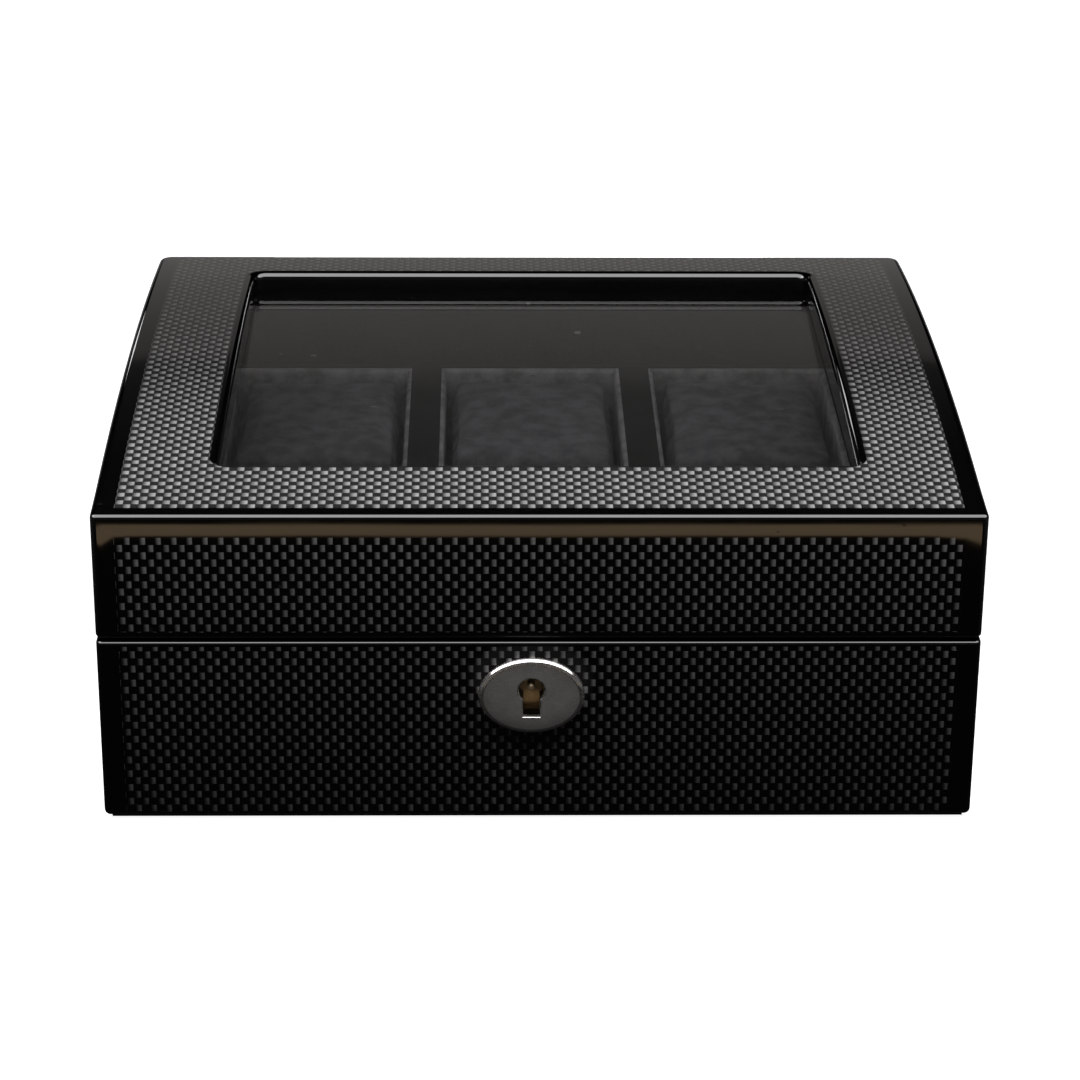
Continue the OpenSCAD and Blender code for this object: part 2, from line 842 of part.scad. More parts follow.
module lid_top_skin() {
    color(carbon) top_skin();
}

module glass_pane() {
    color(glazing) translate([0, window_y, glass_z])
        block(window_w + 2 * glass_lap, window_d + 2 * glass_lap, glass_t);
}

// A frame under the panel, rebated for the glass and open below the window
module glass_retainer() {
    color(velvet) difference() {
        translate([0, 0, retainer_z]) block(inner_w, inner_d, panel_z - retainer_z);
        translate([0, window_y, retainer_z - over])
            block(retainer_open_w, retainer_open_d, retainer_t + 2 * over);
        translate([0, window_y, glass_z]) block(
            window_w + 2 * (glass_lap + glass_clear), window_d + 2 * (glass_lap + glass_clear), glass_t + over
        );
    }
}

module lid_lining() {
    color(velvet) translate([0, 0, lid_bottom]) difference() {
        block(inner_w, inner_d, retainer_z - lid_bottom);
        translate([0, 0, -over])
            block(inner_w - 2 * lining_t, inner_d - 2 * lining_t, retainer_z - lid_bottom + 2 * over);
    }
}

base_front_board();
base_back_board();
base_left_board();
base_right_board();
base_bottom_board();
base_felt();
base_front_skin();
base_back_skin();
base_left_skin();
base_right_skin();
escutcheon();
lock_case();
lock_cover();
key_post();
lock_bolt();
bolt_spring();
lock_screws();
link_plate();
link_plate_screws();
base_leaf_left();
base_leaf_right();
lid_leaf_left();
lid_leaf_right();
hinge_pin_left();
hinge_pin_right();
base_leaf_screws();
lid_leaf_screws();
tray_floor();
tray_front_rail();
tray_back_rail();
tray_left_rail();
tray_right_rail();
long_divider();
cross_divider_left();
cross_divider_right();
cushion_front_left();
cushion_front_middle();
cushion_front_right();
cushion_back_left();
cushion_back_middle();
cushion_back_right();
bumpers();
lid_front_board();
lid_back_board();
lid_left_board();
lid_right_board();
lid_top_panel();
lid_front_skin();
lid_back_skin();
lid_left_skin();
lid_right_skin();
lid_top_skin();
glass_pane();
glass_retainer();
lid_lining();
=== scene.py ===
"""Looks of a lockable watch box: black piano lacquer, carbon cloth skins, a glazed lid and suede cushions.

Metres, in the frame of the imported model: X runs left to right, the front faces -Y, Z is up.
"""
import math

import bmesh
import bpy
from mathutils import Matrix, Vector


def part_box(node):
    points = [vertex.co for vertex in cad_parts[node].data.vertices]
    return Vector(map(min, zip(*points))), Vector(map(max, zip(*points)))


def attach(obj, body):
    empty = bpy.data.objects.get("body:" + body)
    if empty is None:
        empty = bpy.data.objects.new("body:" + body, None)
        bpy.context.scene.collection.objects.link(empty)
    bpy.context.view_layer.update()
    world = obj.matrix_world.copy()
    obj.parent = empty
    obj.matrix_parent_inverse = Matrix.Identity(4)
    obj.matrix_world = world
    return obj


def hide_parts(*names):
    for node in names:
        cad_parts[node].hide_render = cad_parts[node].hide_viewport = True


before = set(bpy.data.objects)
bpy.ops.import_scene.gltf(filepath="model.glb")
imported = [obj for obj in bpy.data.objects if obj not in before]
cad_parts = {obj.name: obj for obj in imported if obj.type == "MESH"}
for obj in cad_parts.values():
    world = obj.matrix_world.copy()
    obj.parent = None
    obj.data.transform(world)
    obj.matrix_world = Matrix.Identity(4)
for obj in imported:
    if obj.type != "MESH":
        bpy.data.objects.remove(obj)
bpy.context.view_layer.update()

MM = 0.001
REACH = 10 * MM     # how far a cutter goes past what it breaks through
WELD = 0.005 * MM   # corners closer than this are one

# ---- Sizes, from the frame where it has them ----

(case_left, case_front, panel_bottom), (case_right, case_back, lid_crown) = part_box("lid_top_panel")
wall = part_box("base_left_board")[1].x - case_left
base_bottom, base_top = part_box("base_left_board")[0].z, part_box("base_left_board")[1].z
lid_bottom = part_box("lid_front_board")[0].z
skin_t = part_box("base_front_skin")[1].y - case_front

# Roundings of the lacquer: the rear corners, the front corners, the base's foot, both rims at the seam, and
# the lid's top edge, which is crisp along the front and softens over LID_EASE to the width of the sides.
CORNER_R = 4 * MM
FRONT_CORNER_R = 1.8 * MM
BASE_FOOT_R = 1.5 * MM
RIM_R = 0.9 * MM
LID_FRONT_R = 1.2 * MM
LID_SIDE_R = 2 * MM
LID_EASE = 20 * MM

# The lid's top is part of a wide cylinder that rises this much from its front edge to its crown.
LID_RISE = 5.5 * MM
ARCH_FACETS = 624
arch_radius = (case_back ** 2 + LID_RISE ** 2) / (2 * LID_RISE)
arch_axis_z = lid_crown - arch_radius

# The window's opening, from the outside of the case, and the lacquered lip between it and the carbon, which
# is narrower in front.
WINDOW_SIDE = 31 * MM
WINDOW_FRONT = 27.8 * MM
WINDOW_BACK = 22.5 * MM
WINDOW_R = 3 * MM
WINDOW_LIP = 2.6 * MM
WINDOW_LIP_R = 0.95 * WINDOW_LIP
FRONT_LIP = 1.2 * MM
window_low = Vector((case_left + WINDOW_SIDE, case_front + WINDOW_FRONT, panel_bottom))
window_high = Vector((case_right - WINDOW_SIDE, case_back - WINDOW_BACK, lid_crown))

LOCK_PLATE_T = 1.5 * MM
LOCK_CASE_WALL = 1 * MM
KEYHOLE_R = 3.4 * MM
KEYHOLE_SLOT_W = 4.3 * MM
KEYHOLE_SLOT_L = 5.7 * MM
ESCUTCHEON_ROLL = 1.45 * MM
KEYHOLE_BEVEL = 0.45 * MM
plate_low, plate_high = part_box("escutcheon")
lock_x, escutcheon_z = (plate_low.x + plate_high.x) / 2, (plate_low.z + plate_high.z) / 2
post_z = (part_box("key_post")[0].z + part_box("key_post")[1].z) / 2

# The tray's raised middle stands in from the walls by TRAY_LIP, and cloth lies on the wells' floors.
TRAY_LIP = 2.5 * MM
TRAY_CLOTH = 0.1 * MM
TRAY_EDGE_R = 1.4 * MM
tray_bottom, tray_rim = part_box("long_divider")[0].z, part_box("long_divider")[1].z
rail_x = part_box("tray_right_rail")[0].x
rail_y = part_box("tray_back_rail")[0].y
divider_left, divider_right = (corner.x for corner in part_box("cross_divider_right"))


# ---- Hand tools ----

def take(piece):
    """Selects one piece alone and makes it the active one."""
    bpy.ops.object.select_all(action="DESELECT")
    piece.select_set(True)
    bpy.context.view_layer.objects.active = piece


def settle(name, scale=(1, 1, 1)):
    """Names the newest primitive, scales it, and puts its place into its mesh."""
    piece = bpy.context.object
    piece.name = piece.data.name = name
    piece.scale = [a * b for a, b in zip(piece.scale, scale)]
    take(piece)
    bpy.ops.object.transform_apply(location=True, rotation=True, scale=True)
    return piece


def block(name, low, high):
    """A block between two corners."""
    low, high = Vector(low), Vector(high)
    bpy.ops.object.select_all(action="DESELECT")
    bpy.ops.mesh.primitive_cube_add(size=1, location=(low + high) / 2)
    return settle(name, high - low)


def pick(piece, kind, test):
    """In edit mode, selects the vertices, edges or faces that pass a test."""
    bpy.ops.mesh.select_mode(type=kind)
    bpy.ops.mesh.select_all(action="DESELECT")
    mesh = bmesh.from_edit_mesh(piece.data)
    parts = {"VERT": mesh.verts, "EDGE": mesh.edges, "FACE": mesh.faces}[kind]
    for part in parts:
        if test(part):
            part.select_set(True)
    mesh.select_flush_mode()
    bmesh.update_edit_mesh(piece.data)


def middle(edge):
    """The middle of an edge."""
    return (edge.verts[0].co + edge.verts[1].co) / 2


def upright(edge):
    """True for an edge that rises more than twice as far as it runs."""
    a, b = (v.co for v in edge.verts)
    return abs(a.z - b.z) > 2 * max(abs(a.x - b.x), abs(a.y - b.y))


def round_uprights(piece, radius, segments=8, test=lambda edge: True):
    """Rounds a piece's upright edges."""
    take(piece)
    bpy.ops.object.mode_set(mode="EDIT")
    pick(piece, "EDGE", lambda edge: upright(edge) and test(edge))
    bpy.ops.mesh.bevel(offset=radius, segments=segments, affect="EDGES")
    bpy.ops.object.mode_set(mode="OBJECT")
    return piece


def apply_modifier(piece, kind, **settings):
    """Adds a modifier with its settings and applies it."""
    take(piece)
    modifier = piece.modifiers.new(kind.lower(), kind)
    for name, value in settings.items():
        setattr(modifier, name, value)
    bpy.ops.object.modifier_apply(modifier=modifier.name)
    return piece


def cut(piece, cutter, operation="DIFFERENCE"):
    """Cuts a piece with another, or keeps what they share, and throws the cutter away."""
    apply_modifier(piece, "BOOLEAN", operation=operation, object=cutter, solver="EXACT")
    bpy.data.objects.remove(cutter)
    return piece


def cut_node(piece, node, past_low=(0, 0, 0), past_high=(0, 0, 0)):
    """Cuts away the box of a CAD node, grown past the faces that it has to break through."""
    low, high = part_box(node)
    return cut(piece, block("cutter", low - Vector(past_low) * REACH, high + Vector(past_high) * REACH))


def round_by_width(piece, width_of, widest, segments):
    """Rounds each edge by the width that width_of gives it, and leaves it sharp for none."""
    mesh = bmesh.new()
    mesh.from_mesh(piece.data)
    mesh.normal_update()
    weights = mesh.edges.layers.float.new("bevel_weight_edge")
    for edge in mesh.edges:
        if len(edge.link_faces) == 2:
            edge[weights] = width_of(edge) / widest
    mesh.to_mesh(piece.data)
    mesh.free()
    return apply_modifier(
        piece, "BEVEL", width=widest, segments=segments, limit_method="WEIGHT",
        use_clamp_overlap=False, loop_slide=False
    )


def smooth(piece, angle=35):
    """Smooth shading over rounded edges, with flat faces kept flat."""
    take(piece)
    bpy.ops.object.mode_set(mode="EDIT")
    bpy.ops.mesh.select_all(action="SELECT")
    bpy.ops.mesh.remove_doubles(threshold=WELD)
    bpy.ops.mesh.fill_holes(sides=8)
    bpy.ops.mesh.normals_make_consistent(inside=False)
    bpy.ops.object.mode_set(mode="OBJECT")
    bpy.ops.object.shade_smooth_by_angle(angle=math.radians(angle))
    return apply_modifier(piece, "WEIGHTED_NORMAL", keep_sharp=True, weight=100)


def turns_over(edge, up):
    """True for an edge between an upright face and a level one that looks up, or down."""
    level = max(edge.link_faces, key=lambda face: abs(face.normal.z))
    steep = min(abs(face.normal.z) for face in edge.link_faces)
    return steep < 0.5 < level.normal.z * up


def is_outer(point):
    """True on the outside of the walls, false on their inside."""
    return max(abs(point.x) - case_right, abs(point.y) - case_back) > -wall / 2


# ---- Lacquered shells ----

def round_corners(shell):
    """Rounds a case's outer corners: crisp at the front, soft at the back."""
    round_uprights(shell, CORNER_R, test=lambda edge: is_outer(middle(edge)) and middle(edge).y > 0)
    return round_uprights(
        shell, FRONT_CORNER_R, segments=4,
        test=lambda edge: is_outer(middle(edge)) and middle(edge).y < case_front + MM
    )


def wall_ring(name, bottom, top):
    """A ring of wall with rounded outer corners, open above and below."""
    ring = block(name, (case_left, case_front, bottom), (case_right, case_back, top))
    bpy.ops.object.mode_set(mode="EDIT")
    pick(ring, "FACE", lambda face: abs(face.normal.z) > 0.9)
    bpy.ops.mesh.inset(thickness=wall, use_individual=True)
    bpy.ops.mesh.delete(type="FACE")
    pick(ring, "EDGE", lambda edge: edge.is_boundary)
    bpy.ops.mesh.bridge_edge_loops()
    bpy.ops.object.mode_set(mode="OBJECT")
    return round_corners(ring)


def base_rounding(edge):
    """The rim round the seam, and the foot."""
    if turns_over(edge, up=1):
        return RIM_R
    return BASE_FOOT_R if turns_over(edge, up=-1) and is_outer(middle(edge)) else 0


def cut_keyhole(piece, front, back):
    """Cuts the keyhole through a piece, between two places along Y."""
    bpy.ops.object.select_all(action="DESELECT")
    bpy.ops.mesh.primitive_cylinder_add(
        vertices=48, radius=KEYHOLE_R, depth=back - front,
        location=(lock_x, (front + back) / 2, post_z), rotation=(math.pi / 2, 0, 0)
    )
    cut(piece, settle("cutter"))
    half, foot = KEYHOLE_SLOT_W / 2, escutcheon_z - KEYHOLE_SLOT_L
    return cut(piece, block("cutter", (lock_x - half, front, foot), (lock_x + half, back, post_z)))


def base_shell():
    """The base's four walls under one lacquer, with the pockets and mortises in them."""
    shell = wall_ring("base_shell", base_bottom, base_top)
    round_by_width(shell, base_rounding, BASE_FOOT_R, 5)
    cut_node(shell, "base_bottom_board", past_low=(0, 0, 1))
    cut_node(shell, "base_front_skin", past_low=(0, 1, 0))
    cut_node(shell, "base_back_skin", past_high=(0, 1, 0))
    cut_node(shell, "base_left_skin", past_low=(1, 0, 0))
    cut_node(shell, "base_right_skin", past_high=(1, 0, 0))
    lock_low, lock_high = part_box("lock_case")
    cover_low, cover_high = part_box("lock_cover")
    behind = lock_high.y + REACH
    cut(shell, block(
        "cutter", (lock_low.x, lock_low.y, lock_high.z - LOCK_PLATE_T),
        (lock_high.x, behind, lock_high.z + REACH)
    ))
    cut(shell, block(
        "cutter", (cover_low.x - LOCK_CASE_WALL, lock_low.y, lock_low.z),
        (cover_high.x + LOCK_CASE_WALL, behind, lock_high.z)
    ))
    cut_keyhole(shell, case_front - REACH, lock_low.y + LOCK_CASE_WALL)
    for side in ("left", "right"):
        cut_node(shell, "base_leaf_" + side, past_high=(0, 1, 1))
    smooth(shell)
    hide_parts("base_front_board", "base_back_board", "base_left_board", "base_right_board")
    return shell


def arch_roller(drop=0.0):
    """A wide roller about the arch's own axis, lowered by drop."""
    bpy.ops.object.select_all(action="DESELECT")
    bpy.ops.mesh.primitive_cylinder_add(
        vertices=ARCH_FACETS, radius=arch_radius - drop, depth=case_right - case_left + 2 * REACH,
        location=(0, 0, arch_axis_z), rotation=(0, math.pi / 2, 0)
    )
    return settle("roller")


def window_plug(grow=0.0, grow_front=0.0):
    """The window's opening as a solid with rounded corners, grown at its sides and rear, and at its front."""
    low = window_low - Vector((grow, grow_front, REACH))
    high = window_high + Vector((grow, grow, REACH))
    return round_uprights(block("plug", low, high), WINDOW_R + grow)


def lid_rounding(edge):
    """Crisp along the front, softer round the sides and back, and a broad lip round the window."""
    at = middle(edge)
    if turns_over(edge, up=-1):
        return RIM_R if at.z < lid_bottom + MM and is_outer(at) else 0
    if not turns_over(edge, up=1) or at.z < panel_bottom + MM:
        return 0
    if not is_outer(at):
        return WINDOW_LIP_R
    past_front = min(1.0, max(0.0, at.y - case_front - FRONT_CORNER_R) / LID_EASE)
    return LID_FRONT_R + (LID_SIDE_R - LID_FRONT_R) * past_front


def top_skin_body(name):
    """What lies above the top skin's underside, inside its border and outside the window's lip."""
    low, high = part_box("lid_top_skin")
    body = block(name, (low.x, low.y, panel_bottom), (high.x, high.y, lid_crown + REACH))
    cut(body, arch_roller(skin_t))
    return cut(body, window_plug(WINDOW_LIP, FRONT_LIP))


def side_skin_body(side, past_low, past_high):
    """A side skin's pocket, whose top edge follows the arch."""
    low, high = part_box(f"lid_{side}_skin")
    body = block("cutter", low - Vector((past_low, 0, 0)), high + Vector((past_high, 0, MM)))
    return cut(body, arch_roller(lid_crown - high.z), "INTERSECT")


def lid_shell():
    """The lid's walls and arched top under one lacquer."""
    shell = block(
        "lid_shell", (case_left, case_front, lid_bottom), (case_right, case_back, lid_crown + REACH)
    )
    round_corners(shell)
    cut(shell, arch_roller(), "INTERSECT")
    cut(shell, block(
        "cutter", (case_left + wall, case_front + wall, lid_bottom - REACH),
        (case_right - wall, case_back - wall, panel_bottom)
    ))
    cut(shell, window_plug())
    round_by_width(shell, lid_rounding, WINDOW_LIP_R, 6)
    cut(shell, top_skin_body("cutter"))
    cut_node(shell, "lid_front_skin", past_low=(0, 1, 0))
    cut_node(shell, "lid_back_skin", past_high=(0, 1, 0))
    cut(shell, side_skin_body("left", REACH, 0))
    cut(shell, side_skin_body("right", 0, REACH))
    link_low, link_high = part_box("link_plate")
    cut(shell, block(
        "cutter", (link_low.x, link_low.y, lid_bottom - REACH), link_high + Vector((0, REACH, 0))
    ))
    for side in ("left", "right"):
        cut_node(shell, "lid_leaf_" + side, past_low=(0, 0, 1), past_high=(0, 1, 0))
    smooth(shell)
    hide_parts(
        "lid_front_board", "lid_back_board", "lid_left_board", "lid_right_board", "lid_top_panel"
    )
    return shell


def lid_top_carbon():
    """The carbon skin on the arched top, flush in its pocket."""
    skin = cut(top_skin_body("lid_top_carbon"), arch_roller(), "INTERSECT")
    smooth(skin)
    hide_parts("lid_top_skin")
    return skin


# ---- Lock ----

def escutcheon_plate():
    """A polished oval plate with a rolled rim and a chamfered keyhole."""
    bpy.ops.object.select_all(action="DESELECT")
    bpy.ops.mesh.primitive_circle_add(
        vertices=96, radius=1, fill_type="NGON",
        location=(lock_x, plate_high.y, escutcheon_z), rotation=(math.pi / 2, 0, 0)
    )
    size = plate_high - plate_low
    plate = settle("escutcheon_plate", (size.x / 2, size.z / 2, 1))
    bpy.ops.object.mode_set(mode="EDIT")
    bpy.ops.mesh.select_all(action="SELECT")
    bpy.ops.mesh.extrude_region_move(TRANSFORM_OT_translate={"value": (0, -size.y, 0)})
    bpy.ops.mesh.select_all(action="SELECT")
    bpy.ops.mesh.normals_make_consistent(inside=False)
    front = plate_low.y + MM / 10
    pick(plate, "EDGE", lambda edge: all(v.co.y < front for v in edge.verts))
    bpy.ops.mesh.bevel(offset=ESCUTCHEON_ROLL, segments=6, profile=0.5, affect="EDGES")
    bpy.ops.object.mode_set(mode="OBJECT")
    cut_keyhole(plate, plate_low.y - REACH, plate_high.y + MM)

    def keyhole_rim(edge):
        """The keyhole's edge on the plate's face, which turns by about a right angle."""
        on_face = all(v.co.y < front for v in edge.verts)
        return KEYHOLE_BEVEL if on_face and edge.calc_face_angle(0) > 1 else 0

    round_by_width(plate, keyhole_rim, KEYHOLE_BEVEL, 3)
    smooth(plate)
    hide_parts("escutcheon")
    return plate


# ---- Tray ----

def tray_rounding(edge):
    """Soft edges where the velvet turns over the rim and into the wells."""
    return TRAY_EDGE_R if turns_over(edge, up=1) and middle(edge).z > tray_rim - MM else 0


def in_a_well(point):
    """True over one of the six wells, or on its walls."""
    x, y, out = abs(point.x), abs(point.y), TRAY_EDGE_R
    in_column = x < divider_left + out or divider_right - out < x < rail_x + out
    return in_column and (divider_right - divider_left) / 2 - out < y < rail_y + out


def tray_lining():
    """The velvet tray: rails, dividers and six wells under one cloth."""
    inner_x, inner_y = case_right - wall, case_back - wall
    half_divider = (divider_right - divider_left) / 2
    tray = block("tray_lining", (-inner_x, -inner_y, tray_bottom), (inner_x, inner_y, base_top))
    bpy.ops.object.mode_set(mode="EDIT")
    pick(tray, "FACE", lambda face: face.normal.z > 0.9)
    bpy.ops.mesh.inset(thickness=TRAY_LIP)
    bpy.ops.mesh.extrude_region_move(TRANSFORM_OT_translate={"value": (0, 0, tray_rim - base_top)})
    for side in (-1, 1):
        for along, places in ((0, (rail_x, divider_right, divider_left)), (1, (rail_y, half_divider))):
            for place in places:
                plane = [0, 0, 0]
                plane[along] = side
                bpy.ops.mesh.select_all(action="SELECT")
                bpy.ops.mesh.bisect(plane_co=[place * part for part in plane], plane_no=plane)

    def over_well(face):
        """True for the parts of the rim that become the wells' floors."""
        at = face.calc_center_median()
        return face.normal.z > 0.9 and at.z > tray_rim - MM and in_a_well(at)

    pick(tray, "FACE", over_well)
    depth = tray_rim - tray_bottom - TRAY_CLOTH
    bpy.ops.mesh.extrude_region_move(TRANSFORM_OT_translate={"value": (0, 0, -depth)})
    bpy.ops.object.mode_set(mode="OBJECT")
    round_by_width(tray, tray_rounding, TRAY_EDGE_R, 3)
    smooth(tray)
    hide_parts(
        "tray_front_rail", "tray_back_rail", "tray_left_rail", "tray_right_rail",
        "long_divider", "cross_divider_left", "cross_divider_right"
    )
    return tray


# ---- Cushions ----

PLACES = ("back_left", "back_middle", "back_right", "front_left", "front_middle", "front_right")
CUSHION_PLUMP = 1 * MM     # how far a cushion may swell
CUSHION_ROUND = 1.5 * MM
CUSHION_CELL = 2 * MM
CUSHION_PRESSURE = 2.5
CUSHION_FRAMES = 20
CUSHION_UNEVEN = 0.8 * MM
CUSHION_LUMP = 28 * MM
END_PANEL = 6 * MM
SEAM_INSET = 4 * MM
SEAM_DEPTH = 0.7 * MM
SEAM_SPREAD = 1.1 * MM


def puff_up(pad):
    """Blows a remeshed pad up like cloth over foam, as far as the cap lets each point go."""
    rest = [v.co.copy() for v in pad.data.vertices]
    take(pad)
    cloth = pad.modifiers.new("cloth", "CLOTH")
    cloth.settings.use_pressure = True
    cloth.settings.uniform_pressure_force = CUSHION_PRESSURE
    cloth.settings.effector_weights.gravity = 0
    for number in range(1, CUSHION_FRAMES + 1):
        bpy.context.scene.frame_set(number)
    bpy.ops.object.modifier_apply(modifier=cloth.name)
    bpy.context.scene.frame_set(1)
    for vertex, start in zip(pad.data.vertices, rest):
        moved = vertex.co - start
        if moved.length > CUSHION_PLUMP:
            vertex.co = start + moved.normalized() * CUSHION_PLUMP


def sink_seam(pad, low, high):
    """Presses the end panels' seams into the two end faces, a little inside their edges."""
    for vertex in pad.data.vertices:
        at = vertex.co
        if min(at.x - low.x, high.x - at.x) > END_PANEL:
            continue
        to_edge = min(at.y - low.y, high.y - at.y, at.z - low.z, high.z - at.z)
        off_seam = (to_edge - SEAM_INSET) / SEAM_SPREAD
        inwards = 1 if at.x < (low.x + high.x) / 2 else -1
        vertex.co.x += inwards * SEAM_DEPTH * math.exp(-off_seam ** 2)


def cushion_pad():
    """One suede cushion, plump between its corners, in the back left well."""
    low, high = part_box("cushion_back_left")
    inset = Vector((1, 1, 1)) * CUSHION_PLUMP
    pad = block("cushion_pad_back_left", low + inset, high - inset)
    apply_modifier(pad, "BEVEL", width=CUSHION_ROUND, segments=4)
    pad.data.remesh_voxel_size = CUSHION_CELL
    bpy.ops.object.voxel_remesh()
    puff_up(pad)
    apply_modifier(pad, "SUBSURF", levels=1, render_levels=1)
    sink_seam(pad, low, high)
    take(pad)
    bpy.ops.object.shade_smooth()
    return pad


def cushion_copy(pad, place):
    """A copy of the cushion, with its own mesh, in another well."""
    low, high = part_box("cushion_back_left")
    to_low, to_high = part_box("cushion_" + place)
    piece = pad.copy()
    piece.data = pad.data.copy()
    bpy.context.collection.objects.link(piece)
    piece.name = piece.data.name = "cushion_pad_" + place
    piece.location = (to_low + to_high - low - high) / 2
    take(piece)
    bpy.ops.object.transform_apply(location=True, rotation=True, scale=True)
    return piece


def make_uneven(piece, place, texture):
    """Gives a cushion its own faint unevenness and a flat foot."""
    apply_modifier(
        piece, "DISPLACE", texture=texture, texture_coords="LOCAL", strength=CUSHION_UNEVEN, mid_level=0.5
    )
    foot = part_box("cushion_" + place)[0].z
    for vertex in piece.data.vertices:
        vertex.co.z = max(vertex.co.z, foot)


# ---- Shader tools ----

def add_node(tree, kind, **settings):
    """A new node with its settings."""
    node = tree.nodes.new(kind)
    for name, value in settings.items():
        setattr(node, name, value)
    return node


def put(node, socket, value):
    """Links a socket to an input, or sets the input to a plain value."""
    if isinstance(value, bpy.types.NodeSocket):
        node.id_data.links.new(value, node.inputs[socket])
    else:
        node.inputs[socket].default_value = value


def feed(node, **values):
    """Puts several inputs by name, with _ for a space."""
    for name, value in values.items():
        put(node, name.replace("_", " "), value)
    return node


def calc(tree, operation, *values):
    """A Math node's result."""
    node = add_node(tree, "ShaderNodeMath", operation=operation)
    for number, value in enumerate(values):
        put(node, number, value)
    return node.outputs[0]


def remap(tree, value, low, high, to_low=0.0, to_high=1.0, soft=False):
    """A value stretched from one range to another, and kept inside it."""
    node = add_node(tree, "ShaderNodeMapRange", interpolation_type="SMOOTHSTEP" if soft else "LINEAR")
    feed(node, Value=value, From_Min=low, From_Max=high, To_Min=to_low, To_Max=to_high)
    return node.outputs["Result"]


def mix_colors(tree, factor, first, second):
    """A blend from the first colour to the second."""
    node = add_node(tree, "ShaderNodeMix", data_type="RGBA")
    for socket, value in ((0, factor), (6, first), (7, second)):
        put(node, socket, value)
    return node.outputs[2]


def noise(tree, vector, scale, detail=3.0, roughness=0.5):
    """Cloudy noise, most of which lies between 0.3 and 0.7."""
    node = add_node(tree, "ShaderNodeTexNoise")
    feed(node, Vector=vector, Scale=scale, Detail=detail, Roughness=roughness)
    return node.outputs["Fac"]


def from_noise(tree, value, to_low, to_high):
    """Noise stretched from the range where most of it lies to another."""
    return remap(tree, value, 0.3, 0.7, to_low, to_high)


def split(tree, vector):
    """A vector's X, Y and Z."""
    node = add_node(tree, "ShaderNodeSeparateXYZ")
    put(node, 0, vector)
    return node.outputs


def stretch(tree, vector, factors):
    """A vector with each part multiplied."""
    node = add_node(tree, "ShaderNodeVectorMath", operation="MULTIPLY")
    put(node, 0, vector)
    put(node, 1, factors)
    return node.outputs[0]


def bump(tree, height, distance, strength=1.0):
    """A normal from a height; distance is how far the height's 0 lies from its 1."""
    node = add_node(tree, "ShaderNodeBump")
    feed(node, Height=height, Distance=distance, Strength=strength)
    return node.outputs["Normal"]


def grey(value):
    """A neutral colour."""
    return (value, value, value, 1)


def start_group(name, inputs, outputs):
    """A new node group with named inputs and outputs, and the nodes at its two ends."""
    tree = bpy.data.node_groups.new(name, "ShaderNodeTree")
    for label, kind in inputs.items():
        tree.interface.new_socket(label, in_out="INPUT", socket_type="NodeSocket" + kind)
    for label, kind in outputs.items():
        tree.interface.new_socket(label, in_out="OUTPUT", socket_type="NodeSocket" + kind)
    return tree, add_node(tree, "NodeGroupInput").outputs, add_node(tree, "NodeGroupOutput")


def place_group(tree, group, **values):
    """Places a shared effect in a material with its own values."""
    node = add_node(tree, "ShaderNodeGroup", node_tree=group)
    return feed(node, **values).outputs


def new_material(name, **constants):
    """A material with one Principled shader, whose plain numbers are set on its own sockets."""
    material = bpy.data.materials.new(name)
    material.use_nodes = True
    tree = material.node_tree
    shader = feed(tree.nodes["Principled BSDF"], **constants)
    where = add_node(tree, "ShaderNodeTexCoord").outputs["Object"]
    return material, tree, shader, where


# ---- Shared effects ----

PAINTED_SHEEN_PEAK, TOW_FALL = 0.85, 0.9   # along a tow: where its painted highlight peaks, and where it starts to go under and the painted highlight fades
TOW_GAP = 0.06                    # the dark line between two rows, at each side of a tow
FIBRES_ALONG, FIBRES_OVER = 2.5, 9.0
DUST_RARITY, DUST_SIZE = 0.55, 0.11   # the share of cells with no speck, and a speck's most radius
RUB_MARKS = (30, 160, 90)         # how finely each repeats along X, Y and Z
HAIRLINES = (300, 900, 5200)
TARNISH_SCALE = 180.0


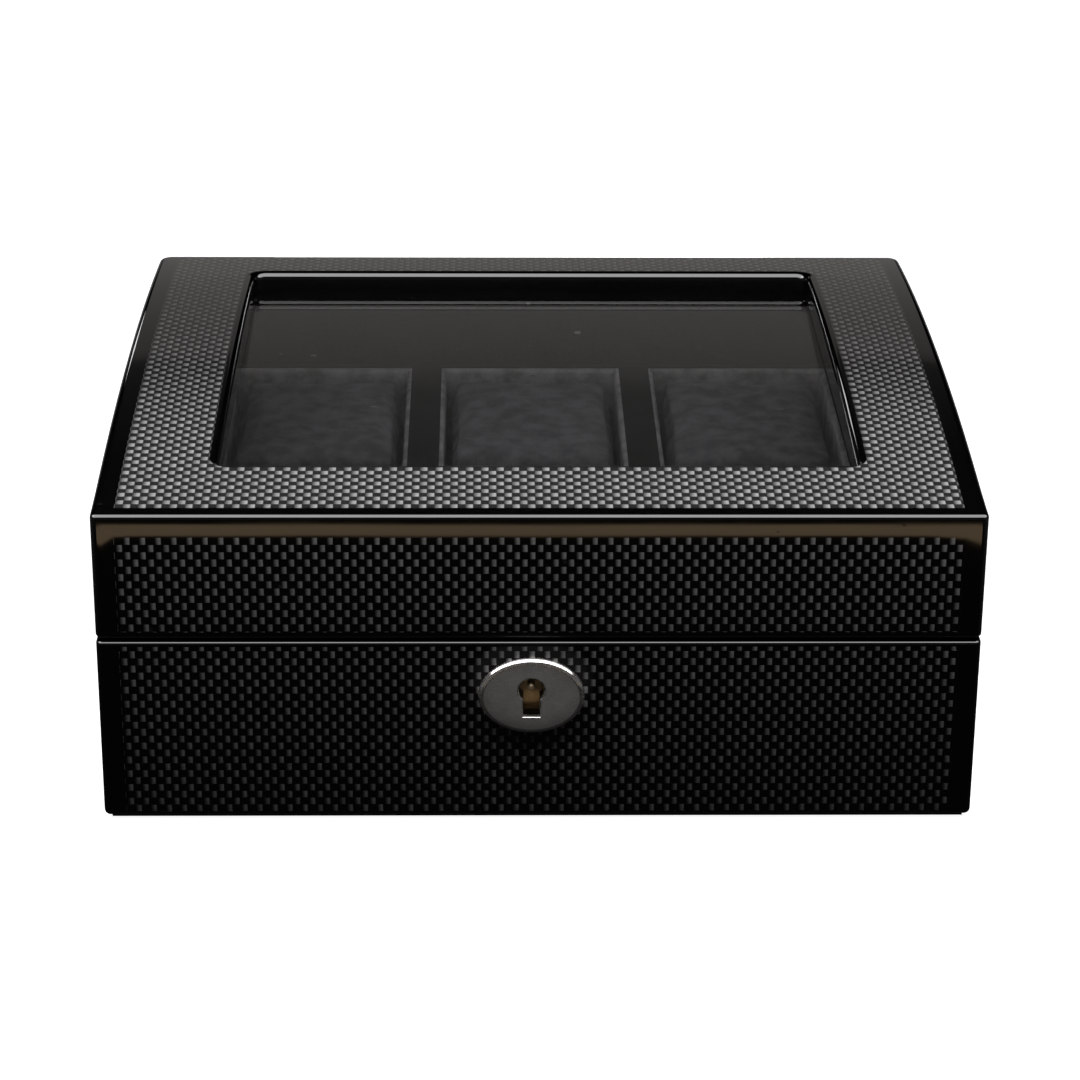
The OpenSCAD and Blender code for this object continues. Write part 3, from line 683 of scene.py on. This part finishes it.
def weave_group():
    """Plain carbon cloth: a checker of tows with their fibres, where every other tow gets painted sheen, as
    if it caught the lamps' light, with a painted highlight just before its crisp right end.
    """
    tree, given, result = start_group(
        "carbon_weave",
        {"Across": "Float", "Up": "Float", "Tow Width": "Float", "Tow Height": "Float",
         "Flank": "Float", "Light": "Color", "Dark": "Color"},
        {"Color": "Color", "Light Mask": "Float", "Height": "Float"},
    )
    column = calc(tree, "DIVIDE", given["Across"], given["Tow Width"])
    row = calc(tree, "DIVIDE", given["Up"], given["Tow Height"])
    column_number, row_number = calc(tree, "FLOOR", column), calc(tree, "FLOOR", row)
    # Every other tow takes painted sheen. A painted highlight rises along it from Flank to its peak and fades
    # where the tow goes under.
    takes_painted_sheen = calc(tree, "FLOORED_MODULO", calc(tree, "ADD", column_number, row_number), 2.0)
    along, over = calc(tree, "FRACT", column), calc(tree, "FRACT", row)
    rise = remap(tree, along, given["Flank"], PAINTED_SHEEN_PEAK, soft=True)
    flank = calc(tree, "MULTIPLY", rise, remap(tree, along, TOW_FALL, 1.0, 1.0, 0.0))
    band = calc(
        tree, "MULTIPLY", remap(tree, over, 0.0, TOW_GAP), remap(tree, over, 1.0 - TOW_GAP, 1.0, 1.0, 0.0)
    )
    tow = calc(tree, "MULTIPLY", calc(tree, "MULTIPLY", flank, band), takes_painted_sheen)
    strands = add_node(tree, "ShaderNodeCombineXYZ")
    feed(
        strands, X=calc(tree, "MULTIPLY", column, FIBRES_ALONG), Y=calc(tree, "MULTIPLY", row, FIBRES_OVER)
    )
    fibres = noise(tree, strands.outputs[0], 1.0, detail=2.0)
    which = feed(add_node(tree, "ShaderNodeCombineXYZ"), X=column_number, Y=row_number)
    own = add_node(tree, "ShaderNodeTexWhiteNoise", noise_dimensions="2D")
    put(own, "Vector", which.outputs[0])
    # Each tow's painted sheen is a little brighter or dimmer at random, and streaked along its fibres.
    lie = remap(tree, own.outputs["Value"], 0.0, 1.0, 0.8, 1.0)
    gloss = calc(tree, "MULTIPLY", lie, from_noise(tree, fibres, 0.6, 1.0))
    painted_sheen_mask = calc(tree, "MULTIPLY", tow, gloss)
    hump = calc(
        tree, "MULTIPLY", calc(tree, "SINE", calc(tree, "MULTIPLY", along, math.pi)),
        calc(tree, "SINE", calc(tree, "MULTIPLY", over, math.pi))
    )
    # Light is the colour of the painted sheen, and Light Mask is where the painted sheen lies.
    feed(
        result, Color=mix_colors(tree, painted_sheen_mask, given["Dark"], given["Light"]), Light_Mask=painted_sheen_mask,
        Height=calc(tree, "ADD", hump, calc(tree, "MULTIPLY", fibres, 0.2))
    )
    return tree


def polish_group():
    """Hand-polished lacquer: long faint waves in the surface, and hazy rub marks."""
    tree, given, result = start_group(
        "polish", {"Vector": "Vector", "Wave Scale": "Float"}, {"Height": "Float", "Rub": "Float"}
    )
    waves = noise(tree, given["Vector"], given["Wave Scale"], detail=1.0)
    rubbed = noise(tree, stretch(tree, given["Vector"], RUB_MARKS), 1.0, detail=4.0, roughness=0.6)
    feed(result, Height=waves, Rub=remap(tree, rubbed, 0.35, 0.75))
    return tree


def dust_group():
    """Sparse specks of dust, some larger than others."""
    tree, given, result = start_group(
        "dust", {"Vector": "Vector", "Scale": "Float"}, {"Specks": "Float"}
    )
    cells = feed(add_node(tree, "ShaderNodeTexVoronoi"), Vector=given["Vector"], Scale=given["Scale"])
    chance = add_node(tree, "ShaderNodeSeparateColor")
    put(chance, "Color", cells.outputs["Color"])
    size = remap(tree, chance.outputs[0], DUST_RARITY, 1.0, 0.0, DUST_SIZE)
    speck = calc(tree, "LESS_THAN", cells.outputs["Distance"], size)
    feed(result, Specks=calc(tree, "MULTIPLY", speck, chance.outputs[1]))
    return tree


def nap_group():
    """Short pile: brushed patches over fine fibres."""
    tree, given, result = start_group(
        "nap", {"Vector": "Vector", "Patch Scale": "Float", "Fibre Scale": "Float"},
        {"Patches": "Float", "Fibres": "Float"}
    )
    patches = noise(tree, given["Vector"], given["Patch Scale"], detail=4.0, roughness=0.62)
    fibres = noise(tree, given["Vector"], given["Fibre Scale"], detail=3.0, roughness=0.7)
    feed(result, Patches=remap(tree, patches, 0.32, 0.68, soft=True), Fibres=fibres)
    return tree


def scratch_group():
    """Fine hairline scratches that run mostly one way, and cloudy tarnish."""
    tree, given, result = start_group(
        "scratches", {"Vector": "Vector"}, {"Lines": "Float", "Tarnish": "Float"}
    )
    lines = noise(tree, stretch(tree, given["Vector"], HAIRLINES), 1.0, detail=3.0, roughness=0.7)
    tarnish = noise(tree, given["Vector"], TARNISH_SCALE, detail=5.0, roughness=0.65)
    feed(result, Lines=lines, Tarnish=remap(tree, tarnish, 0.4, 0.75))
    return tree


weave = weave_group()
polish = polish_group()
dust = dust_group()
nap = nap_group()
scratches = scratch_group()


# ---- Finishes ----

TOW_W = 1.994 * MM
TOW_H = 2.04 * MM
LINT = 0.16               # brightness of the lint on the cloths
SHADE_OF_GLASS = 0.2      # how much of the lamps' light comes through the window


def piano_lacquer():
    """Black lacquer polished to a mirror, with faint waves, rub marks and a little dust."""
    material, tree, shader, where = new_material("black_piano_lacquer", IOR=1.5)
    shine = place_group(tree, polish, Vector=where, Wave_Scale=22.0)
    specks = place_group(tree, dust, Vector=where, Scale=160.0)["Specks"]
    haze = remap(tree, shine["Rub"], 0.0, 1.0, 0.03, 0.055)
    feed(
        shader,
        Base_Color=mix_colors(tree, specks, grey(0.0012), grey(0.012)),
        Roughness=calc(tree, "ADD", haze, calc(tree, "MULTIPLY", specks, 0.2)),
        Normal=bump(tree, shine["Height"], distance=0.03 * MM),
    )
    return material


def carbon_cloth(name, across, up, light_at, light, dark=0.001, flank=0.15):
    """Carbon cloth under clear lacquer, with painted sheen on every other tow; light_at is the middle of one
    tow with painted sheen, across and up, and light is how bright that painted sheen is.
    """
    material, tree, shader, where = new_material(
        name, Roughness=0.6, Specular_IOR_Level=0.0, Coat_Weight=1.0, Coat_Roughness=0.03, Coat_IOR=1.5
    )
    place = split(tree, where)
    flat = feed(add_node(tree, "ShaderNodeCombineXYZ"), X=place[across], Y=place[up])
    corner = (light_at[0] - TOW_W / 2, light_at[1] + TOW_H / 2, 0)
    lay = add_node(tree, "ShaderNodeMapping", vector_type="TEXTURE")
    feed(lay, Vector=flat.outputs[0], Location=corner)
    laid = split(tree, lay.outputs[0])
    cloth = place_group(
        tree, weave, Across=laid["X"], Up=laid["Y"], Tow_Width=TOW_W, Tow_Height=TOW_H,
        Flank=flank, Light=(light, 0.99 * light, 0.98 * light, 1), Dark=grey(dark)
    )
    specks = place_group(tree, dust, Vector=where, Scale=150.0)["Specks"]
    feed(
        shader,
        Base_Color=mix_colors(tree, calc(tree, "MULTIPLY", specks, 0.5), cloth["Color"], grey(0.12)),
        Normal=bump(tree, cloth["Height"], distance=0.04 * MM, strength=0.5),
    )
    return material


def clear_glass():
    """Plate glass with a few specks of dust; lamps shine through it."""
    material, tree, shader, where = new_material("window_glass", Transmission_Weight=1.0, IOR=1.5)
    specks = place_group(tree, dust, Vector=where, Scale=110.0)["Specks"]
    smears = remap(tree, noise(tree, where, 14.0, detail=2.0), 0.4, 0.8, 0.0, 0.012)
    feed(
        shader,
        Base_Color=mix_colors(tree, specks, (0.97, 0.985, 0.98, 1), grey(0.8)),
        Roughness=calc(tree, "ADD", smears, calc(tree, "MULTIPLY", specks, 0.25)),
    )
    through = feed(add_node(tree, "ShaderNodeBsdfTransparent"), Color=grey(SHADE_OF_GLASS))
    shown = add_node(tree, "ShaderNodeMixShader")
    put(shown, 0, add_node(tree, "ShaderNodeLightPath").outputs["Is Shadow Ray"])
    put(shown, 1, shader.outputs["BSDF"])
    put(shown, 2, through.outputs[0])
    put(tree.nodes["Material Output"], "Surface", shown.outputs[0])
    return material


def pile(name, dark, light, patch_scale, fibre_scale, depth, sheen, tint):
    """A soft cloth with a nap, between its dark and its light."""
    material, tree, shader, where = new_material(
        name, Roughness=0.9, Specular_IOR_Level=0.15,
        Sheen_Weight=sheen, Sheen_Roughness=0.45, Sheen_Tint=tint
    )
    cloth = place_group(tree, nap, Vector=where, Patch_Scale=patch_scale, Fibre_Scale=fibre_scale)
    shade = calc(tree, "MULTIPLY", cloth["Patches"], from_noise(tree, cloth["Fibres"], 0.55, 1.0))
    relief = calc(tree, "ADD", cloth["Fibres"], calc(tree, "MULTIPLY", cloth["Patches"], 0.6))
    lint = place_group(tree, dust, Vector=stretch(tree, where, (0.5, 1, 1)), Scale=130.0)["Specks"]
    napped = mix_colors(tree, shade, dark, light)
    feed(shader, Base_Color=mix_colors(tree, lint, napped, grey(LINT)), Normal=bump(tree, relief, depth))
    return material


def metal(name, clean, dull, smoothest, roughest, scratch_depth, metallic=1.0):
    """A metal with hairline scratches and a little tarnish."""
    material, tree, shader, where = new_material(name, Metallic=metallic)
    marks = place_group(tree, scratches, Vector=where)
    feed(
        shader,
        Base_Color=mix_colors(tree, marks["Tarnish"], clean, dull),
        Roughness=from_noise(tree, marks["Lines"], smoothest, roughest),
        Normal=bump(tree, marks["Lines"], scratch_depth),
    )
    return material


def black_rubber():
    """Matt moulded rubber."""
    material, tree, shader, where = new_material("black_rubber")
    grain = place_group(tree, nap, Vector=where, Patch_Scale=500.0, Fibre_Scale=4000.0)
    feed(
        shader,
        Base_Color=mix_colors(tree, grain["Patches"], grey(0.008), grey(0.02)),
        Roughness=from_noise(tree, grain["Fibres"], 0.5, 0.75),
        Normal=bump(tree, grain["Fibres"], distance=0.03 * MM),
    )
    return material


lacquer = piano_lacquer()
# One copy of the carbon cloth for each face. Its painted sheen is brighter or dimmer for how the lamps fall
# on that face. The top's copy also has painted reflection lifting its dark tows, and its painted highlight
# spread over more of each tow.
carbon_lid_front = carbon_cloth(
    "carbon_cloth_lid_front", across="X", up="Z", light_at=(0.02774, 0.07848), light=0.66
)
carbon_base_front = carbon_cloth(
    "carbon_cloth_base_front", across="X", up="Z", light_at=(-0.10784, 0.02184), light=0.75
)
carbon_side = carbon_cloth(
    "carbon_cloth_sides", across="Y", up="Z", light_at=(0.0, 0.0215), light=0.5
)
carbon_top = carbon_cloth(
    "carbon_cloth_top", across="X", up="Y", light_at=(0.00977, -0.07739), light=0.43, dark=0.02, flank=-0.15
)
glass = clear_glass()
velvet = pile(
    "black_velvet", dark=(0.002, 0.002, 0.002, 1), light=(0.008, 0.0078, 0.0075, 1),
    patch_scale=90.0, fibre_scale=2600.0, depth=0.1 * MM, sheen=0.03, tint=grey(0.6)
)
suede = pile(
    "grey_suede", dark=(0.05, 0.048, 0.052, 1), light=(0.115, 0.11, 0.119, 1),
    patch_scale=160.0, fibre_scale=2200.0, depth=0.14 * MM, sheen=0.05, tint=(0.75, 0.72, 0.8, 1)
)
# The wells are lined with the cushions' suede painted about twice as light. This painted light stands in for
# the lamps' light, which reaches the well walls and floors only at a slant.
well_suede_painted_lighter = pile(
    "well_suede_painted_lighter", dark=(0.1, 0.096, 0.098, 1), light=(0.22, 0.212, 0.216, 1),
    patch_scale=160.0, fibre_scale=2200.0, depth=0.1 * MM, sheen=0.05, tint=grey(0.7)
)
felt = pile(
    "black_felt", dark=grey(0.006), light=grey(0.03),
    patch_scale=300.0, fibre_scale=1800.0, depth=0.2 * MM, sheen=0.1, tint=grey(0.5)
)
nickel = metal(
    "polished_nickel", clean=(0.62, 0.6, 0.58, 1), dull=(0.5, 0.48, 0.46, 1),
    smoothest=0.1, roughest=0.2, scratch_depth=0.004 * MM, metallic=0.75
)
brass = metal(
    "lock_brass", clean=(0.72, 0.57, 0.38, 1), dull=(0.35, 0.27, 0.17, 1),
    smoothest=0.35, roughest=0.5, scratch_depth=0.01 * MM
)
steel = metal(
    "screw_steel", clean=grey(0.5), dull=(0.3, 0.29, 0.28, 1),
    smoothest=0.25, roughest=0.42, scratch_depth=0.01 * MM
)
rubber = black_rubber()


def coat(piece, material):
    """Gives a piece one material in place of what it had."""
    piece.data.materials.clear()
    piece.data.materials.append(material)
    return piece


# ---- Making the pieces ----

def add_piece(piece, material, body):
    """Gives a piece its material and the body that it moves with."""
    coat(piece, material)
    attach(piece, body)


add_piece(base_shell(), lacquer, "base")
add_piece(lid_shell(), lacquer, "lid")
add_piece(lid_top_carbon(), carbon_top, "lid")
add_piece(escutcheon_plate(), nickel, "base")
tray = tray_lining()
add_piece(tray, velvet, "base")
# The wells' walls and floors take the suede that is painted lighter.
tray.data.materials.append(well_suede_painted_lighter)
just_below_rim = tray_rim - MM / 50
for face in tray.data.polygons:
    if tray_bottom < face.center.z < just_below_rim and in_a_well(face.center):
        face.material_index = 1

first_pad = cushion_pad()
pads = {place: first_pad if place == PLACES[0] else cushion_copy(first_pad, place) for place in PLACES}
unevenness = bpy.data.textures.new("suede_unevenness", "CLOUDS")
unevenness.noise_scale = CUSHION_LUMP
for place, pad in pads.items():
    make_uneven(pad, place, unevenness)
    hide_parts("cushion_" + place)
    add_piece(pad, suede, "cushion_" + place)

NODE_FINISHES = {
    lacquer: ("base_bottom_board",),
    felt: ("base_felt",),
    carbon_base_front: ("base_front_skin", "base_back_skin"),
    carbon_lid_front: ("lid_front_skin", "lid_back_skin"),
    carbon_side: ("base_left_skin", "base_right_skin", "lid_left_skin", "lid_right_skin"),
    brass: ("lock_case", "lock_cover", "key_post", "link_plate"),
    steel: (
        "lock_bolt", "bolt_spring", "lock_screws", "link_plate_screws",
        "hinge_pin_left", "hinge_pin_right", "base_leaf_screws", "lid_leaf_screws"
    ),
    nickel: ("base_leaf_left", "base_leaf_right", "lid_leaf_left", "lid_leaf_right"),
    velvet: ("tray_floor", "glass_retainer", "lid_lining"),
    glass: ("glass_pane",),
    rubber: ("bumpers",),
}
for material, nodes in NODE_FINISHES.items():
    for node in nodes:
        for material_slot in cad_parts[node].material_slots:
            material_slot.material = material


# ---- Camera ----

CAMERA_AT = (-0.0148, -0.8806, 0.4208)
PITCH, YAW, ROLL = math.radians(23.61), math.radians(1.084), math.radians(0.429)
FOCAL_PIXELS, FRAME_PIXELS = 3317.7, 1080
SENSOR_WIDTH = 36


def camera():
    """Looks down from the front, a little left of the middle."""
    ahead = Vector((math.sin(YAW) * math.cos(PITCH), math.cos(YAW) * math.cos(PITCH), -math.sin(PITCH)))
    right = Vector((math.cos(YAW), -math.sin(YAW), 0))
    up = right.cross(ahead)
    rolled_right = right * math.cos(ROLL) + up * math.sin(ROLL)
    rolled_up = up * math.cos(ROLL) - right * math.sin(ROLL)
    lens = bpy.data.cameras.new("camera")
    lens.sensor_width = SENSOR_WIDTH
    lens.lens = FOCAL_PIXELS / FRAME_PIXELS * SENSOR_WIDTH
    eye = bpy.data.objects.new("camera", lens)
    bpy.context.collection.objects.link(eye)
    eye.location = CAMERA_AT
    eye.rotation_euler = Matrix((rolled_right, rolled_up, -ahead)).transposed().to_euler()
    bpy.context.scene.camera = eye


# ---- Stage and light ----

def fade_long_edges(light, share):
    """Fades a softbox's light towards its two long edges, each over a share of its depth."""
    light.use_nodes = True
    tree = light.node_tree
    place = split(tree, add_node(tree, "ShaderNodeNewGeometry").outputs["Parametric"])
    off_middle = calc(tree, "ABSOLUTE", calc(tree, "SUBTRACT", place["Y"], 0.5))
    feed(tree.nodes["Emission"], Strength=remap(tree, off_middle, 0.5 - share, 0.5, 1.0, 0.0, soft=True))


def lamp(name, at, size, radiance, aim=(0, 0, 0.05), diffuse=True, glossy=True, fade=0.0):
    """A softbox at a place, aimed at a point, unseen by the eye; radiance is the brightness of its face."""
    light = bpy.data.lights.new(name, "AREA")
    light.shape = "RECTANGLE"
    light.size, light.size_y = size
    light.energy = radiance * math.pi * size[0] * size[1]
    box = bpy.data.objects.new(name, light)
    bpy.context.collection.objects.link(box)
    box.location = at
    box.rotation_euler = (Vector(at) - Vector(aim)).to_track_quat("Z", "Y").to_euler()
    box.visible_camera = box.visible_transmission = False
    box.visible_diffuse, box.visible_glossy = diffuse, glossy
    if fade:
        fade_long_edges(light, fade)


def show_to_eye(tree, output, seen, else_shown):
    """Shows one shader to the eye, also through glass, and another in reflections and to bounced light."""
    path = add_node(tree, "ShaderNodeLightPath").outputs
    through = calc(tree, "GREATER_THAN", path["Transmission Depth"], 0.5)
    turned = calc(tree, "ADD", path["Diffuse Depth"], path["Glossy Depth"])
    straight = calc(tree, "MULTIPLY", through, calc(tree, "LESS_THAN", turned, 0.5))
    shown = add_node(tree, "ShaderNodeMixShader")
    put(shown, 0, calc(tree, "MAXIMUM", path["Is Camera Ray"], straight))
    put(shown, 1, else_shown)
    put(shown, 2, seen)
    put(tree.nodes[output], "Surface", shown.outputs[0])


# What the lacquer mirrors of the floor. A warm strip runs across in front of the box. Its near edge comes
# closer by WARM_SWELL past WARM_REACH from the middle, and its ends fade over WARM_END.
WARM_FAR, WARM_NEAR = -0.3058, -0.2917
WARM_FAR_BLUR, WARM_NEAR_BLUR = 0.0006, 0.0004
WARM_SWELL, WARM_REACH, WARM_EASE = 0.0028, 0.125, 0.015
WARM_END = (0.15, 0.16)
WARM_GLOW = (1.45, 1.05, 0.63, 1)
# A dim oval below the lock, and dim floor far to the sides and behind.
LOCK_GLOW, LOCK_GLOW_AT, LOCK_GLOW_SIZE = 0.1, (-0.0005, -0.188), (0.0165, 0.026)
LOCK_GLOW_EDGE = (0.9, 1.15)
SIDE_GLOW, SIDE_EASE, REAR_EASE = 0.14, (0.16, 0.5), (0.0, 0.3)
FLOOR_GLOW = 0.02
FLOOR_SIZE = 30


def pale_floor():
    """A pale floor for the eye; in the lacquer's reflections it is dark, but for one warm strip in front."""
    bpy.ops.object.select_all(action="DESELECT")
    bpy.ops.mesh.primitive_plane_add(size=FLOOR_SIZE)
    floor = settle("floor")
    material, tree, shader, where = new_material("pale_floor", Roughness=0.9, Base_Color=grey(0.8))
    feed(shader, Emission_Color=grey(1), Emission_Strength=0.93)
    place = split(tree, where)
    off_middle = calc(tree, "ABSOLUTE", place["X"])
    swell = remap(tree, off_middle, WARM_REACH, WARM_REACH + WARM_EASE, 0.0, WARM_SWELL, soft=True)
    past = calc(tree, "SUBTRACT", place["Y"], swell)
    strip = calc(
        tree, "MULTIPLY",
        remap(tree, place["Y"], WARM_FAR - WARM_FAR_BLUR, WARM_FAR + WARM_FAR_BLUR),
        remap(tree, past, WARM_NEAR - WARM_NEAR_BLUR, WARM_NEAR + WARM_NEAR_BLUR, 1.0, 0.0)
    )
    strip = calc(tree, "MULTIPLY", strip, remap(tree, off_middle, *WARM_END, 1.0, 0.0, soft=True))
    oval = add_node(tree, "ShaderNodeMapping", vector_type="TEXTURE")
    feed(oval, Vector=where, Location=(*LOCK_GLOW_AT, 0), Scale=(*LOCK_GLOW_SIZE, 1))
    from_lock = add_node(tree, "ShaderNodeVectorMath", operation="LENGTH")
    put(from_lock, 0, oval.outputs[0])
    under_lock = remap(tree, from_lock.outputs["Value"], *LOCK_GLOW_EDGE, LOCK_GLOW, 0.0, soft=True)
    aside = calc(
        tree, "MAXIMUM",
        remap(tree, off_middle, *SIDE_EASE, 0.0, SIDE_GLOW, soft=True),
        remap(tree, place["Y"], *REAR_EASE, 0.0, SIDE_GLOW, soft=True)
    )
    dim = calc(tree, "ADD", calc(tree, "MAXIMUM", under_lock, aside), FLOOR_GLOW)
    mirrored = feed(add_node(tree, "ShaderNodeEmission"), Color=mix_colors(tree, strip, dim, WARM_GLOW))
    show_to_eye(tree, "Material Output", shader.outputs[0], mirrored.outputs[0])
    material.cycles.emission_sampling = "NONE"
    floor.visible_diffuse = False
    coat(floor, material)


# What the lacquer mirrors of the room: how bright it is at each height, as the Z of a direction. It is
# brightest straight behind the box, fades over REAR_EDGE, and comes back over SIDE_EDGE, ROUND_GLOW as
# bright, for the sides and the front. Both edges are a direction's X over its Y.
ROOM_STOPS = (
    (0.0, 0.36), (0.208, 0.22), (0.335, 0.155), (0.352, 0.112), (0.358, 0.055), (0.375, 0.04), (0.5, 0.006)
)
ROOM_TINT = (1.0, 0.97, 0.93)
ROUND_GLOW = 0.5
REAR_EDGE, SIDE_EDGE = (0.15, 0.22), (0.6, 1.2)


def studio_world():
    """White for the eye; mirrored in the lacquer, a dark room with a pale glow low behind the box."""
    world = bpy.data.worlds.new("studio")
    bpy.context.scene.world = world
    world.use_nodes = True
    world.cycles_visibility.diffuse = False
    tree = world.node_tree
    way = split(tree, add_node(tree, "ShaderNodeTexCoord").outputs["Generated"])
    ramp = add_node(tree, "ShaderNodeValToRGB")
    put(ramp, 0, way["Z"])
    stops = ramp.color_ramp.elements
    stops.remove(stops[-1])
    for number, (position, level) in enumerate(ROOM_STOPS):
        stop = stops[0] if number == 0 else stops.new(position)
        stop.position, stop.color = position, (*(level * part for part in ROOM_TINT), 1)
    aside = calc(tree, "ABSOLUTE", calc(tree, "DIVIDE", way["X"], way["Y"]))
    behind = calc(
        tree, "MULTIPLY", remap(tree, aside, *REAR_EDGE, 1.0, 0.0, soft=True),
        calc(tree, "GREATER_THAN", way["Y"], 0.0)
    )
    around = calc(
        tree, "MAXIMUM", remap(tree, aside, *SIDE_EDGE, 0.0, ROUND_GLOW, soft=True),
        calc(tree, "MULTIPLY", calc(tree, "LESS_THAN", way["Y"], 0.0), ROUND_GLOW)
    )
    room = feed(add_node(tree, "ShaderNodeBackground"), Strength=calc(tree, "MAXIMUM", behind, around))
    put(room, "Color", ramp.outputs[0])
    white = feed(add_node(tree, "ShaderNodeBackground"), Color=grey(1), Strength=1.0)
    show_to_eye(tree, "World Output", white.outputs[0], room.outputs[0])


camera()
pale_floor()
studio_world()
lamp("key", at=(0, -0.085, 0.14), size=(0.5, 0.11), radiance=2, aim=(0, -0.085, 0), glossy=False)
lamp("left card", at=(-0.75, -0.1, 0.8), size=(0.4, 0.4), radiance=6, diffuse=False)
lamp("right card", at=(0.75, -0.1, 0.8), size=(0.4, 0.4), radiance=1, diffuse=False)
lamp("rear card", at=(-0.487, 1.375, 0.435), size=(0.14, 0.16), radiance=3.5, diffuse=False)
lamp("fill", at=(0, 0.8, 1.2), size=(2.4, 1.2), radiance=0.5, glossy=False)
for side in (-1, 1):
    lamp(
        "low side", at=(0.42 * side, 0, 0.042), size=(0.18, 0.08), radiance=4, aim=(0, 0, 0.042),
        glossy=False
    )
lamp("low rear", at=(0, 0.42, 0.042), size=(0.2, 0.08), radiance=4, aim=(0, 0, 0.042))
lamp(
    "overhead", at=(0, -0.33, 0.8), size=(2.6, 1.13), radiance=8, aim=(0, -0.33, 0),
    diffuse=False, fade=0.15
)
bpy.context.scene.view_settings.view_transform = "Standard"
